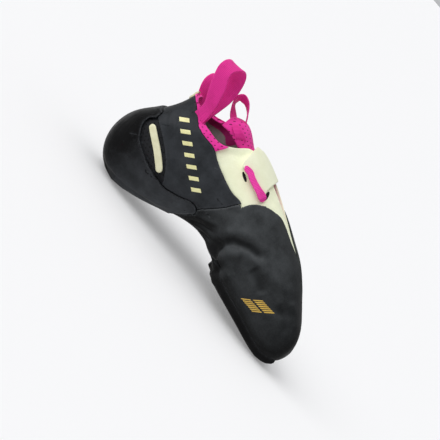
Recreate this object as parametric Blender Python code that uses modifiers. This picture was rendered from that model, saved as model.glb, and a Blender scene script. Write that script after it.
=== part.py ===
# Climbing shoe, left foot, standing empty and unbent on its sole.
# Metres. +X runs to the toe, +Y to the outer (lateral) side, +Z up, the floor is z = 0.
# The origin is the middle of the heel's flat spot.

import math
from collections import namedtuple

import bmesh
import bpy
from mathutils import Vector

# Overall sizes of the last, as the closed skin of the upper
SHOE_LENGTH = 0.230
INSTEP_HEIGHT = 0.110
BALL_WIDTH = 0.083

# Walls and rubber
WALL = 0.0022
INSOLE_THICKNESS = 0.0016
RAND_THICKNESS = 0.0017
BAND_THICKNESS = 0.0013
CUP_THICKNESS = 0.0031
OUTSOLE_THICKNESS = 0.0035
COLLAR_THICKNESS = 0.0016
BAR_THICKNESS = 0.0013
TONGUE_THICKNESS = 0.0028
STRAP_THICKNESS = 0.0022
WEBBING_THICKNESS = 0.0012
CLEARANCE = 0.00032
SEAM_GAP = 0.0004

# Loops
PULL_LOOP_OPENING = 0.020
PULL_LOOP_HEM = .10
TONGUE_LOOP_WIDTH = 0.010

# Where the heel's flat spot lies along the shoe, which is the origin
HEEL_SPOT_SHARE = 0.139

# How the sections are sampled
ROW_STEPS = 2
LOWER_STEPS = 5
UPPER_STEPS = 6
SIDE_SHARE = 0.44
OUTLINE_STEPS = 2
LOWER_SQUARENESS = 0.77
UPPER_SQUARENESS = 0.95

Section = namedtuple(
    "Section", "keel_x keel_z edge_x edge_z half_width edge_half widest middle_y ridge_y hollow")

# Each section lies in a plane through its keel point, its edge point and the Y axis.
# x is a share of SHOE_LENGTH, z of INSTEP_HEIGHT, and every width and y of BALL_WIDTH.
# widest is where the section is widest, as a share of the way from keel to edge.
SECTIONS = (
    Section(.120, .882, .165, .850, .193, .187, .60, .000, .000, .00),
    Section(.106, .740, .204, .805, .241, .225, .55, .000, .000, .00),
    Section(.066, .570, .239, .798, .301, .255, .50, .000, .000, .00),
    Section(.024, .430, .267, .798, .337, .277, .50, .000, .000, .00),
    Section(.017, .245, .289, .802, .349, .285, .50, .000, .000, .00),
    Section(.057, .082, .309, .815, .355, .283, .50, .000, .000, .00),
    Section(.139, .023, .330, .842, .361, .262, .50, .000, .000, .00),
    Section(.235, .066, .357, .880, .361, .215, .50, .012, .000, .00),
    Section(.330, .150, .387, .915, .367, .150, .48, .024, .000, .01),
    Section(.426, .232, .435, .930, .386, .125, .45, .036, -.024, .04),
    Section(.513, .241, .509, .895, .430, .100, .42, .036, -.048, .07),
    Section(.591, .177, .578, .845, .478, .070, .38, .012, -.072, .05),
    Section(.657, .133, .643, .788, .498, .028, .36, .000, -.096, .02),
    Section(.726, .110, .713, .720, .488, .000, .36, -.024, -.120, .00),
    Section(.800, .084, .787, .650, .452, .000, .36, -.060, -.145, .00),
    Section(.870, .059, .857, .540, .392, .000, .36, -.108, -.169, .00),
    Section(.924, .046, .911, .438, .313, .000, .38, -.145, -.193, .00),
    Section(.961, .068, .952, .362, .229, .000, .42, -.169, -.205, .00),
    Section(.983, .114, .978, .280, .133, .000, .48, -.193, -.212, .00),
    Section(.991, .190, .991, .192, .000, .000, .50, -.205, -.205, .00),
)
LAST_SECTION = len(SECTIONS) - 1

Seam = namedtuple("Seam", "x z")

# Seams seen from the side: x is a share of SHOE_LENGTH, z of INSTEP_HEIGHT
BAND_TOP = (
    Seam(.085, .880), Seam(.130, .862), Seam(.174, .810), Seam(.209, .766), Seam(.252, .756),
    Seam(.287, .758), Seam(.309, .745), Seam(.335, .718), Seam(.374, .690), Seam(.435, .658),
    Seam(.478, .637), Seam(.505, .622))
BAND_FRONT = (Seam(.505, .622), Seam(.457, .498), Seam(.430, .420), Seam(.417, .373))
CUP_TOP = (
    Seam(.086, .575), Seam(.074, .548), Seam(.071, .500), Seam(.082, .441), Seam(.107, .382),
    Seam(.146, .336), Seam(.196, .300), Seam(.270, .282), Seam(.313, .305), Seam(.357, .345),
    Seam(.391, .377), Seam(.415, .368), Seam(.421, .332), Seam(.394, .250), Seam(.366, .180))
CUP_BACK_TOP = .628
BAND_REAR = (
    Seam(.261, .322), Seam(.222, .402), Seam(.178, .474), Seam(.135, .536), Seam(.089, .586))
WINDOW_FOOT = 7
CUP_TIP = 11

# Raised bar in the window of each heel side
BAR_TOP = Seam(.105, .509)
BAR_FOOT = Seam(.222, .340)
BAR_WIDTH = 0.0056

ThroatPoint = namedtuple("ThroatPoint", "x medial lateral")

# The leather between the two sides of the forefoot rubber, seen from above:
# x is a share of SHOE_LENGTH, medial and lateral are y as shares of BALL_WIDTH
RAND_THROAT = (
    ThroatPoint(.500, -.440, .510), ThroatPoint(.545, -.350, .370), ThroatPoint(.600, -.280, .190),
    ThroatPoint(.650, -.240, .090), ThroatPoint(.700, -.225, .030), ThroatPoint(.760, -.205, -.040),
    ThroatPoint(.820, -.185, -.105))
RAND_THROAT_TIP = (.862, -.165)
RAND_THROAT_REAR_FLOOR = .612
RAND_THROAT_FRONT_FLOOR = .450

# The half sole under the forefoot, and the opening of the upper under it
OUTSOLE_REAR_SECTION = 11.0
OUTSOLE_FRONT_SECTION = 18.0
OUTSOLE_COLUMNS = 3
OUTSOLE_EDGE_SHARE = .35
UNDERFOOT_REAR_SECTION = 11.5
UNDERFOOT_FRONT_SECTION = 16.5
UNDERFOOT_COLUMNS = 2
INSOLE_COLUMNS = 3
INSOLE_REAR_SECTION = 5.0
INSOLE_FRONT_SECTION = 17.5

# The tongue under the throat: how far it reaches, and its rear end above the opening.
# along and up are shares of INSTEP_HEIGHT from the crown of its rear section,
# half and droop are the half width and the fall of its sides as shares of BALL_WIDTH.
TONGUE_REAR_SECTION = 8.0
TONGUE_FRONT_SECTION = 12.5
TONGUE_REAR_REACH = .16
TONGUE_FRONT_REACH = .25
TONGUE_COLUMNS = 4
TongueRow = namedtuple("TongueRow", "along up half droop")
TONGUE_END = (
    TongueRow(-.290, .045, .170, .110), TongueRow(-.225, .092, .195, .150),
    TongueRow(-.150, .095, .190, .170), TongueRow(-.075, .055, .165, .150))

# The instep strap, from its root on the medial side over the crown to the lateral side
STRAP_REAR_SECTION = 8.45
STRAP_FRONT_SECTION = 10.15
STRAP_MEDIAL_REACH = .345
STRAP_LATERAL_REACH = .38
STRAP_TIP_TAPER = .30
STRAP_ROWS = 4
STRAP_COLUMNS = 10
STRAP_WEBBING_REACH = .310
STRAP_WEBBING_SLOPE = .040
STRAP_WEBBING_SPREAD = .050

# Route of the tongue's tab, from its root over its crown to its end: along and up are shares of
# INSTEP_HEIGHT from the middle of the tongue's last row but one
TabPoint = namedtuple("TabPoint", "along up")
TONGUE_TAB = (
    TabPoint(.030, .010), TabPoint(-.030, .030), TabPoint(-.085, .085), TabPoint(-.140, .118),
    TabPoint(-.190, .110), TabPoint(-.205, .070), TabPoint(-.175, .020), TabPoint(-.125, -.022),
    TabPoint(-.080, -.050))

# Pull loops on the collar's rear quarters: height and lean back are in metres
PullLoop = namedtuple("PullLoop", "side first last height lean")
PULL_LOOPS = {
    "medial": PullLoop(-1, 0.12, 1.42, 0.045, 0.012),
    "lateral": PullLoop(1, 0.12, 1.42, 0.026, 0.018),
}
PULL_LOOP_COLUMNS = 3
PULL_LOOP_STEPS = 14

PANEL_COLOURS = {
    "leather": (0.85, 0.86, 0.60),
    "black_rubber": (0.02, 0.021, 0.023),
    "pink_webbing": (0.75, 0.03, 0.32),
    "pale_print": (0.72, 0.65, 0.36),
    "board": (0.25, 0.25, 0.26),
}
PANEL_ROUGHNESS = {
    "leather": 0.6, "black_rubber": 0.55, "pink_webbing": 0.8, "pale_print": 0.5, "board": 0.9}


def clear_scene():
    for scene_object in list(bpy.data.objects):
        bpy.data.objects.remove(scene_object, do_unlink=True)


def make_collection(name):
    collection = bpy.data.collections.new(name)
    bpy.context.scene.collection.children.link(collection)
    return collection


def make_material(name, finish):
    material = bpy.data.materials.new(name)
    material.use_nodes = True
    shader = material.node_tree.nodes["Principled BSDF"]
    shader.inputs["Base Color"].default_value = (*PANEL_COLOURS[finish], 1.0)
    shader.inputs["Roughness"].default_value = PANEL_ROUGHNESS[finish]
    shader.inputs["Metallic"].default_value = 0.0
    return material


def cubic(before, start, end, after, share):
    """Smooth value between start and end, share of the way."""
    slope_start = (end - before) / 2
    slope_end = (after - start) / 2
    square = share * share
    cube = square * share
    return (start * (2 * cube - 3 * square + 1) + end * (3 * square - 2 * cube)
            + slope_start * (cube - 2 * square + share) + slope_end * (cube - square))


def section_at(place):
    """The section at a place counted in rows of SECTIONS."""
    index = min(int(place), LAST_SECTION - 1)
    rows = [SECTIONS[min(max(index + shift, 0), LAST_SECTION)] for shift in (-1, 0, 1, 2)]
    return Section(*(cubic(*columns, place - index) for columns in zip(*rows)))


def edge_angle(section):
    """Angle at which the section stops at the collar or throat, 90 degrees where it closes."""
    if section.half_width <= 0 or section.edge_half <= 0:
        return math.pi / 2
    share = min(section.edge_half / section.half_width, 1.0)
    return math.acos(share ** (1 / UPPER_SQUARENESS))


def edge_share(place):
    """Share of the way from keel to crown at which the upper stops."""
    angle = edge_angle(section_at(place))
    return SIDE_SHARE + (1 - SIDE_SHARE) * angle / (math.pi / 2)


def skin_point(place, around):
    """A point on the outside of the upper.

    around runs from 0 at the keel to 1 at the crown on the lateral side, and to -1 on the medial.
    """
    around = (around + 1) % 2 - 1
    section = section_at(place)
    side = 1 if around >= 0 else -1
    share = abs(around)
    stop = math.sin(edge_angle(section)) ** UPPER_SQUARENESS
    if share <= SIDE_SHARE:
        angle = (1 - share / SIDE_SHARE) * math.pi / 2
        rise = section.widest * (1 - math.sin(angle) ** LOWER_SQUARENESS)
        reach = max(math.cos(angle), 0) ** LOWER_SQUARENESS
        lift = 0
        dent = section.hollow * math.sin(2 * angle) ** 2 if side < 0 else 0
    else:
        angle = (share - SIDE_SHARE) / (1 - SIDE_SHARE) * math.pi / 2
        rise = section.widest + (1 - section.widest) * math.sin(angle) ** UPPER_SQUARENESS / stop
        reach = max(math.cos(angle), 0) ** UPPER_SQUARENESS
        lift = math.sin(angle) ** 2
        dent = 0
    across = section.middle_y + (section.ridge_y - section.middle_y) * lift
    across += side * (max(section.half_width, 0) * reach - dent)
    return Vector((
        SHOE_LENGTH * (section.keel_x + (section.edge_x - section.keel_x) * rise - HEEL_SPOT_SHARE),
        BALL_WIDTH * across,
        INSTEP_HEIGHT * (section.keel_z + (section.edge_z - section.keel_z) * rise)))


def skin_normal(place, around):
    """The outward direction of the skin."""
    if place > LAST_SECTION - 0.02:
        return Vector((1, 0, 0))
    step = 0.02
    low = max(place - step, 0)
    along = skin_point(place + step, around) - skin_point(low, around)
    across = skin_point(place, around + step) - skin_point(place, around - step)
    return across.cross(along).normalized()


def skin_offset(place, around, offset):
    return skin_point(place, around) + skin_normal(place, around) * offset


def column_around(place, column):
    """Where a grid column of the upper lies; columns are counted from the keel, medial ones below 0."""
    side = 1 if column >= 0 else -1
    count = abs(column)
    if count <= LOWER_STEPS:
        return side * SIDE_SHARE * count / LOWER_STEPS
    share = (count - LOWER_STEPS) / UPPER_STEPS
    return side * (SIDE_SHARE + (edge_share(place) - SIDE_SHARE) * share)


def link_mesh(name, mesh_data, collection, finish=None):
    mesh = bpy.data.meshes.new(name)
    bmesh.ops.remove_doubles(mesh_data, verts=mesh_data.verts, dist=0.00002)
    mesh_data.to_mesh(mesh)
    mesh_data.free()
    piece = bpy.data.objects.new(name, mesh)
    collection.objects.link(piece)
    if finish:
        mesh.materials.append(make_material(name + "_finish", finish))
        mesh.shade_smooth()
    return piece


def grid_surface(points, skipped=None):
    """Triangles over rows of points, outside seen when rows run forward and columns to +Y below."""
    surface = bmesh.new()
    rows = [[surface.verts.new(point) for point in row] for row in points]
    for r in range(len(rows) - 1):
        for c in range(len(rows[r]) - 1):
            if skipped and skipped(r, c):
                continue
            corners = (rows[r][c], rows[r + 1][c], rows[r + 1][c + 1], rows[r][c + 1])
            if c < (len(rows[r]) - 1) / 2:
                triangles = ((corners[0], corners[1], corners[2]), (corners[0], corners[2], corners[3]))
            else:
                triangles = ((corners[0], corners[1], corners[3]), (corners[1], corners[2], corners[3]))
            for triangle in triangles:
                surface.faces.new(triangle[::-1])
    bmesh.ops.remove_doubles(surface, verts=surface.verts, dist=0.00002)
    bmesh.ops.dissolve_degenerate(surface, edges=surface.edges, dist=0.00002)
    return surface


def thicken(piece, thickness, outward):
    wall = piece.modifiers.new("Wall", "SOLIDIFY")
    wall.thickness = thickness
    wall.offset = 1 if outward else -1
    wall.use_even_offset = False
    wall.use_quality_normals = True
    return piece


def skin_shell(name, collection, finish, first, last, columns, offset, thickness, skipped=None,
               outward=True):
    """A shell over the skin's own grid, between two sections and two columns either side."""
    count = round((last - first) * ROW_STEPS)
    places = [first + step / ROW_STEPS for step in range(count + 1)]
    points = [[skin_offset(place, column_around(place, column), offset)
               for column in range(-columns, columns + 1)] for place in places]
    mask = None
    if skipped:
        def mask(row, column):
            return skipped(places[row], column - columns)
    piece = link_mesh(name, grid_surface(points, mask), collection, finish)
    return thicken(piece, thickness, outward)


def smooth_outline(points, steps=OUTLINE_STEPS):
    """Points on a smooth curve through the given ones."""
    outline = []
    last = len(points) - 1
    for index in range(last):
        near = [points[min(max(index + shift, 0), last)] for shift in (-1, 0, 1, 2)]
        for step in range(steps):
            outline.append(tuple(cubic(*values, step / steps) for values in zip(*near)))
    outline.append(tuple(points[last]))
    return outline


def side_place(seam):
    return (SHOE_LENGTH * (seam[0] - HEEL_SPOT_SHARE), INSTEP_HEIGHT * seam[1])


def side_prism(name, outline, collection, low_y=-BALL_WIDTH, high_y=BALL_WIDTH):
    """A cutter with an outline of (x, z) places, run across the shoe."""
    prism = bmesh.new()
    base = prism.faces.new([prism.verts.new((x, low_y, z)) for x, z in outline])
    grown = bmesh.ops.extrude_face_region(prism, geom=[base])
    moved = [item for item in grown["geom"] if isinstance(item, bmesh.types.BMVert)]
    bmesh.ops.translate(prism, verts=moved, vec=(0, high_y - low_y, 0))
    bmesh.ops.recalc_face_normals(prism, faces=prism.faces)
    cutter = link_mesh(name, prism, collection)
    cutter.hide_render = True
    cutter.display_type = "WIRE"
    return cutter


def plan_prism(name, outline, collection, rear_floor, front_floor, high_z):
    """A cutter with an outline of (x, y) places, run upwards from a floor that slopes along x."""
    rear = min(x for x, y in outline)
    slope = (front_floor - rear_floor) / (max(x for x, y in outline) - rear)
    prism = bmesh.new()
    base = prism.faces.new([prism.verts.new((x, y, rear_floor + slope * (x - rear)))
                            for x, y in outline])
    grown = bmesh.ops.extrude_face_region(prism, geom=[base])
    moved = [item for item in grown["geom"] if isinstance(item, bmesh.types.BMVert)]
    bmesh.ops.translate(prism, verts=moved, vec=(0, 0, high_z))
    bmesh.ops.recalc_face_normals(prism, faces=prism.faces)
    cutter = link_mesh(name, prism, collection)
    cutter.hide_render = True
    cutter.display_type = "WIRE"
    return cutter


def cut(piece, cutter, operation="DIFFERENCE"):
    modifier = piece.modifiers.new(cutter.name, "BOOLEAN")
    modifier.operation = operation
    modifier.solver = "EXACT"
    modifier.object = cutter


def shifted(outline, along, up):
    return [(x + along, z + up) for x, z in outline]


def build_upper(parts):
    def underfoot(place, column):
        inside = UNDERFOOT_REAR_SECTION <= place < UNDERFOOT_FRONT_SECTION
        return inside and -UNDERFOOT_COLUMNS <= column < UNDERFOOT_COLUMNS

    skin_shell("upper", parts, "leather", 0, LAST_SECTION, LOWER_STEPS + UPPER_STEPS, 0, WALL,
               underfoot, outward=False)


def build_insole(parts):
    skin_shell("insole", parts, "board", INSOLE_REAR_SECTION, INSOLE_FRONT_SECTION, INSOLE_COLUMNS,
               -(WALL + CLEARANCE), INSOLE_THICKNESS, outward=False)


def over_crown(place, reach, offset):
    """A point of the closed form, reach counted from the crown, lateral side above 0."""
    return skin_offset(place, 1 - reach, offset)


def spread(first, last, count):
    return [first + (last - first) * step / count for step in range(count + 1)]


def build_tongue(parts):
    sink = -(WALL + 2 * CLEARANCE)
    shares = spread(1, -1, 2 * TONGUE_COLUMNS)
    count = round((TONGUE_FRONT_SECTION - TONGUE_REAR_SECTION) * ROW_STEPS)
    places = spread(TONGUE_REAR_SECTION, TONGUE_FRONT_SECTION, count)
    spans = spread(TONGUE_REAR_REACH, TONGUE_FRONT_REACH, count)
    covered = [[over_crown(place, span * share, sink) for share in shares]
               for place, span in zip(places, spans)]
    crown = covered[0][TONGUE_COLUMNS]
    end = []
    for row in TONGUE_END:
        points = []
        for share in shares:
            turn = share * math.pi / 2
            points.append(crown + Vector((
                INSTEP_HEIGHT * row.along, BALL_WIDTH * row.half * math.sin(turn),
                INSTEP_HEIGHT * row.up - BALL_WIDTH * row.droop * (1 - math.cos(turn)))))
        end.append(points)
    tongue = link_mesh("tongue", grid_surface(end + covered), parts, "pink_webbing")
    thicken(tongue, TONGUE_THICKNESS, False)
    return end[1][TONGUE_COLUMNS]


def build_tongue_loop(parts, root):
    route = smooth_outline(TONGUE_TAB, 2)
    points = [[root + Vector((INSTEP_HEIGHT * along, side * TONGUE_LOOP_WIDTH / 2,
                              INSTEP_HEIGHT * up)) for side in (-1, 0, 1)] for along, up in route]
    tab = link_mesh("tongue_loop", grid_surface(points), parts, "pink_webbing")
    centre_wall(tab, WEBBING_THICKNESS)


def centre_wall(piece, thickness):
    thicken(piece, thickness, True).modifiers["Wall"].offset = 0


def build_strap(parts):
    reaches = spread(STRAP_LATERAL_REACH, -STRAP_MEDIAL_REACH, STRAP_COLUMNS)
    middle = (STRAP_REAR_SECTION + STRAP_FRONT_SECTION) / 2
    half = (STRAP_FRONT_SECTION - STRAP_REAR_SECTION) / 2
    points = []
    for along in spread(-1, 1, STRAP_ROWS):
        row = []
        for reach in reaches:
            taper = 1 - STRAP_TIP_TAPER * max(reach / STRAP_LATERAL_REACH, 0) ** 2
            row.append(over_crown(middle + half * along * taper, reach, CLEARANCE))
        points.append(row)
    strap = link_mesh("strap", grid_surface(points), parts, "leather")
    thicken(strap, STRAP_THICKNESS, True)


def build_strap_webbing(parts):
    offset = STRAP_THICKNESS + 2 * CLEARANCE
    half = STRAP_WEBBING_SPREAD / 2
    points = []
    for share in spread(0, 1, STRAP_ROWS):
        place = STRAP_REAR_SECTION + (STRAP_FRONT_SECTION - STRAP_REAR_SECTION) * share
        centre = -STRAP_WEBBING_REACH - STRAP_WEBBING_SLOPE * (share - 0.5)
        points.append([over_crown(place, centre + across, offset) for across in (half, 0, -half)])
    webbing = link_mesh("strap_webbing", grid_surface(points), parts, "pink_webbing")
    thicken(webbing, WEBBING_THICKNESS, True)


def rim_outward(place, side):
    step = 0.05
    near = skin_point(max(place - step, 0), side * edge_share(max(place - step, 0)))
    far = skin_point(place + step, side * edge_share(place + step))
    along = far - near
    return Vector((along.y, -along.x, 0)).normalized() * -side


def pull_loop_column(loop, place):
    half = WEBBING_THICKNESS / 2
    outer = COLLAR_THICKNESS + 2 * CLEARANCE + half
    inner = -(WALL + 2.5 * CLEARANCE + half)
    edge = loop.side * edge_share(place)
    outward = rim_outward(place, loop.side)
    hem = [edge - loop.side * PULL_LOOP_HEM * share for share in (1, 0.5, 0)]
    column = [skin_offset(place, around, outer) for around in hem]
    start = column[-1]
    inside = [skin_offset(place, around, inner) for around in hem[::-1]]
    end = inside[0]
    for step in range(1, PULL_LOOP_STEPS):
        share = step / PULL_LOOP_STEPS
        turn = 2 * math.pi * share
        rise = (1 - math.cos(turn)) / 2
        swell = 0.65 * PULL_LOOP_OPENING * math.sin(turn) * math.sin(turn / 2)
        column.append(start.lerp(end, share) + outward * swell
                      + Vector((-loop.lean * rise, 0, loop.height * rise)))
    return column + inside


def build_pull_loops(parts):
    for name, loop in PULL_LOOPS.items():
        columns = [pull_loop_column(loop, place)
                   for place in spread(loop.first, loop.last, PULL_LOOP_COLUMNS)]
        piece = link_mesh("pull_loop_" + name, grid_surface(columns), parts, "pink_webbing")
        centre_wall(piece, WEBBING_THICKNESS)


def floor_cutter(cutters):
    reach = SHOE_LENGTH
    return side_prism("floor_cutter", [(-reach, -reach), (reach, -reach), (reach, 0), (-reach, 0)],
                      cutters)


def build_heel_cup(parts, cutters, floor):
    cup = skin_shell("heel_cup", parts, "black_rubber", 1.0, 9.5, LOWER_STEPS + 3, CLEARANCE,
                     CUP_THICKNESS)
    low = -SHOE_LENGTH
    top = [side_place(point) for point in smooth_outline(CUP_TOP)]
    back_top = side_place((0, CUP_BACK_TOP))[1]
    outline = [(low, low), (low, back_top), (top[0][0], back_top)] + top + [(top[-1][0], low)]
    cut(cup, side_prism("cup_outline", outline, cutters), "INTERSECT")
    cut(cup, floor)
    return cup


def build_heel_band(parts, cutters):
    band = skin_shell("heel_band", parts, "black_rubber", 0, 11.0, LOWER_STEPS + UPPER_STEPS,
                      CLEARANCE, BAND_THICKNESS)
    top = [side_place(point) for point in smooth_outline(BAND_TOP)]
    front = [side_place(point) for point in smooth_outline(BAND_FRONT)]
    cup_edge = [side_place(point) for point in smooth_outline(CUP_TOP)]
    beside_cup = cup_edge[WINDOW_FOOT * OUTLINE_STEPS:CUP_TIP * OUTLINE_STEPS]
    lower = shifted(beside_cup, 0, SEAM_GAP)[::-1]
    rear = [side_place(point) for point in smooth_outline(BAND_REAR)]
    back_foot = side_place((0, CUP_BACK_TOP))[1] + SEAM_GAP
    outline = top + front[1:] + lower + rear
    outline += [(rear[-1][0], back_foot), (-SHOE_LENGTH, back_foot), (-SHOE_LENGTH, top[0][1])]
    cut(band, side_prism("band_outline", outline, cutters), "INTERSECT")


def build_collar(parts, cutters):
    collar = skin_shell("collar", parts, "pink_webbing", 0, 8.0, LOWER_STEPS + UPPER_STEPS,
                        CLEARANCE, COLLAR_THICKNESS)
    top = [side_place(point) for point in smooth_outline(BAND_TOP[:7])]
    outline = [(-SHOE_LENGTH, top[0][1] + SEAM_GAP)] + shifted(top, 0, SEAM_GAP)
    high = INSTEP_HEIGHT * 2
    outline += [(side_place((.330, 0))[0], side_place((0, .845))[1]),
                (side_place((.385, 0))[0], side_place((0, .960))[1]),
                (side_place((.385, 0))[0], high), (-SHOE_LENGTH, high)]
    cut(collar, side_prism("collar_outline", outline, cutters), "INTERSECT")


def build_toe_rand(parts, cutters):
    rand = skin_shell("toe_rand", parts, "black_rubber", 6.5, LAST_SECTION,
                      LOWER_STEPS + UPPER_STEPS, CLEARANCE, RAND_THICKNESS)
    front = [side_place(point) for point in smooth_outline(BAND_FRONT)]
    tip = [side_place(point) for point in smooth_outline(CUP_TOP[CUP_TIP:])]
    rear = shifted(front[:-1] + tip, SEAM_GAP * 1.5, 0)
    high = INSTEP_HEIGHT * 2
    outline = ([(SHOE_LENGTH, high), (rear[0][0], high)] + rear
               + [(rear[-1][0], -high), (SHOE_LENGTH, -high)])
    cut(rand, side_prism("rand_outline", outline, cutters), "INTERSECT")

    places = [(SHOE_LENGTH * (point.x - HEEL_SPOT_SHARE), BALL_WIDTH * point.medial,
               BALL_WIDTH * point.lateral) for point in RAND_THROAT]
    tip_place = (SHOE_LENGTH * (RAND_THROAT_TIP[0] - HEEL_SPOT_SHARE),
                 BALL_WIDTH * RAND_THROAT_TIP[1])
    medial = smooth_outline([(x, near) for x, near, far in places] + [tip_place], 3)
    lateral = smooth_outline([tip_place] + [(x, far) for x, near, far in places[::-1]], 3)
    throat = plan_prism("rand_throat", medial + lateral[1:], cutters,
                        INSTEP_HEIGHT * RAND_THROAT_REAR_FLOOR,
                        INSTEP_HEIGHT * RAND_THROAT_FRONT_FLOOR, high)
    cut(rand, throat)


def build_outsole(parts, floor):
    outsole = skin_shell("outsole", parts, "black_rubber", OUTSOLE_REAR_SECTION,
                         OUTSOLE_FRONT_SECTION, OUTSOLE_COLUMNS,
                         RAND_THICKNESS + 2 * CLEARANCE, OUTSOLE_THICKNESS)
    rim = {corner for edge in open_edges(outsole.data) for corner in edge}
    rear = min(vertex.co.x for vertex in outsole.data.vertices) + OUTSOLE_THICKNESS
    full = [vertex.index for vertex in outsole.data.vertices
            if vertex.index not in rim or vertex.co.x < rear]
    outsole.vertex_groups.new(name="full_thickness").add(full, 1.0, "REPLACE")
    wall = outsole.modifiers["Wall"]
    wall.vertex_group = "full_thickness"
    wall.thickness_vertex_group = OUTSOLE_EDGE_SHARE
    cut(outsole, floor)


def open_edges(mesh):
    uses = {}
    for polygon in mesh.polygons:
        for edge in polygon.edge_keys:
            uses[edge] = uses.get(edge, 0) + 1
    return [edge for edge, count in uses.items() if count == 1]


def build_heel_bars(parts, cutters):
    top = Vector(side_place(BAR_TOP))
    foot = Vector(side_place(BAR_FOOT))
    run = (foot - top).normalized()
    across = Vector((-run.y, run.x)) * BAR_WIDTH / 2
    arc = [math.pi * step / 6 for step in range(7)]
    outline = [tuple(top + across * math.cos(turn) - run * BAR_WIDTH / 2 * math.sin(turn))
               for turn in arc]
    outline += [tuple(foot - across * math.cos(turn) + run * BAR_WIDTH / 2 * math.sin(turn))
                for turn in arc]
    for side, low_y, high_y in (("medial", -BALL_WIDTH, 0), ("lateral", 0, BALL_WIDTH)):
        bar = skin_shell("heel_bar_" + side, parts, "pale_print", 2.0, 7.0, LOWER_STEPS + 3,
                         CLEARANCE, BAR_THICKNESS)
        cutter = side_prism("bar_outline_" + side, outline, cutters, low_y, high_y)
        cut(bar, cutter, "INTERSECT")


def main():
    clear_scene()
    parts = make_collection("climbing_shoe")
    cutters = make_collection("cutters")
    floor = floor_cutter(cutters)
    build_upper(parts)
    build_insole(parts)
    build_heel_cup(parts, cutters, floor)
    build_heel_band(parts, cutters)
    build_collar(parts, cutters)
    build_toe_rand(parts, cutters)
    build_outsole(parts, floor)
    build_heel_bars(parts, cutters)
    tongue_top = build_tongue(parts)
    build_tongue_loop(parts, tongue_top)
    build_strap(parts)
    build_strap_webbing(parts)
    build_pull_loops(parts)


main()
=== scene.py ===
import math
import time

import bmesh
import bpy
import numpy as np
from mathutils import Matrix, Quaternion, Vector
from mathutils.bvhtree import BVHTree
from mathutils.kdtree import KDTree


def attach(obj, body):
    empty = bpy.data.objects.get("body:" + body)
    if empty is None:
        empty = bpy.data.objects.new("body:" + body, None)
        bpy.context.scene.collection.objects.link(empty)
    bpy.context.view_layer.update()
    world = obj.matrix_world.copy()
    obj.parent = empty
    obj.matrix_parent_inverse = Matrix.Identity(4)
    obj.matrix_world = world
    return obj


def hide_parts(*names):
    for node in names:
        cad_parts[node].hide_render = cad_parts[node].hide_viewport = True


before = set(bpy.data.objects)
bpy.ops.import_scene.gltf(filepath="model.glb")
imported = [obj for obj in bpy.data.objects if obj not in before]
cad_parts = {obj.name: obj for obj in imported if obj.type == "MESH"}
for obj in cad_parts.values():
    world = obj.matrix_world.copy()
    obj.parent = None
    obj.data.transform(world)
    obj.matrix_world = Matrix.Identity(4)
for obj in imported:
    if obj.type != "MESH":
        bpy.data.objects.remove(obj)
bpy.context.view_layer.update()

started = time.time()
mm = 0.001


def report(stage):
    print("%6.1f s  %s" % (time.time() - started, stage))


# The camera keeps the photo's angle to the shoe: a level side view from the inner side,
# seen a little from above and rolled so that the toe points down to the right.
cameraPlan = {
    "aim": (0.0817, 0.0, 0.0445),
    "elevation": 12.0,
    "azimuth": 0.0,
    "roll": 49.8,
    "distance": 1.17,
    "lens": 120.2,
}


def makeCamera():
    plan = cameraPlan
    turn = math.radians(plan["azimuth"])
    rise = math.radians(plan["elevation"])
    back = Vector((math.sin(turn) * math.cos(rise), -math.cos(turn) * math.cos(rise), math.sin(rise)))
    data = bpy.data.cameras.new("photoCamera")
    data.lens = plan["lens"]
    data.sensor_width = 36
    data.clip_start = 0.05
    data.clip_end = 200
    camera = bpy.data.objects.new("photoCamera", data)
    bpy.context.collection.objects.link(camera)
    camera.location = Vector(plan["aim"]) + back * plan["distance"]
    camera.rotation_mode = "QUATERNION"
    level = (-back).to_track_quat("-Z", "Y")
    camera.rotation_quaternion = level @ Quaternion((0, 0, 1), math.radians(plan["roll"]))
    bpy.context.scene.camera = camera


# Soft studio light: a very broad key from behind the heel, a weaker one overhead, and a pale room
# that is darker towards the camera
lightPlan = [
    {"name": "broadKey", "towards": (0.66, 0.38, -0.66), "spread": 50.0, "strength": 1.75},
    {"name": "overhead", "towards": (0.05, -0.15, -1.00), "spread": 70.0, "strength": 0.55},
]
roomStrength = 0.52
roomTop = (-.35, .35, .85)
roomLow = .15


def makeLights():
    for plan in lightPlan:
        data = bpy.data.lights.new(plan["name"], "SUN")
        data.angle = math.radians(plan["spread"])
        data.energy = plan["strength"]
        lamp = bpy.data.objects.new(plan["name"], data)
        lamp.rotation_euler = Vector(plan["towards"]).to_track_quat("-Z", "Y").to_euler()
        bpy.context.collection.objects.link(lamp)
    world = bpy.data.worlds.new("paleRoom")
    bpy.context.scene.world = world
    world.use_nodes = True
    background = world.node_tree.nodes["Background"]
    tree = world.node_tree
    way = addNode(tree, "ShaderNodeTexCoord").outputs["Generated"]
    height = addNode(tree, "ShaderNodeVectorMath", {"operation": "DOT_PRODUCT"},
                     {1: Vector(roomTop).normalized()}, {0: way}).outputs["Value"]
    share = addNode(tree, "ShaderNodeMapRange", {"clamp": True, "interpolation_type": "SMOOTHSTEP"},
                    {"From Min": -.35, "From Max": .45, "To Min": roomLow, "To Max": 1.0},
                    {"Value": height}).outputs["Result"]
    tint = addNode(tree, "ShaderNodeVectorMath", {"operation": "SCALE"}, {0: (0.97, 0.98, 1.0)},
                   {"Scale": share}).outputs["Vector"]
    tree.links.new(tint, background.inputs["Color"])
    background.inputs["Strength"].default_value = roomStrength
    bpy.context.scene.view_settings.view_transform = "Standard"


def linear(hexText):
    values = [int(hexText[i:i + 2], 16) / 255 for i in (0, 2, 4)]
    return tuple(v / 12.92 if v <= 0.04045 else ((v + 0.055) / 1.055) ** 2.4 for v in values) + (1.0,)


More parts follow.
